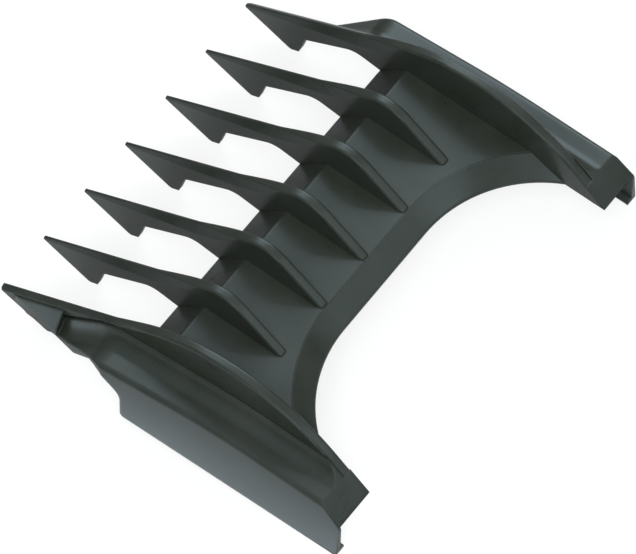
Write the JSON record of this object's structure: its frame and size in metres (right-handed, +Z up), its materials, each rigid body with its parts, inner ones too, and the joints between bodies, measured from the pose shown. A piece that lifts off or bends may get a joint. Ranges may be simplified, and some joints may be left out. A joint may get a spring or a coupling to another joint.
{
  "type": "clipper guide comb",
  "caption": "Clip-on guide comb for a hair or wool clipper: tapered teeth rise into ribs over a sloped deck, between flared side rails with gripping skirts.",
  "frame": {"origin": "centre of the footprint, on the surface the comb stands on", "axes": "+X across the comb towards tooth_7, +Y from the tooth tips to the rear, +Z up"},
  "size_m": [0.0496, 0.0448, 0.0148],
  "materials": {
    "black_plastic": "satin"
  },
  "bodies": {
    "root": {"tooth_1": "black_plastic", "tooth_2": "black_plastic", "tooth_3": "black_plastic", "tooth_4": "black_plastic", "tooth_5": "black_plastic", "tooth_6": "black_plastic", "tooth_7": "black_plastic", "deck_plate": "black_plastic", "rear_rim": "black_plastic", "left_rail": "black_plastic", "left_hook": "black_plastic", "right_rail": "black_plastic", "right_hook": "black_plastic"}
  },
  "joints": []
}
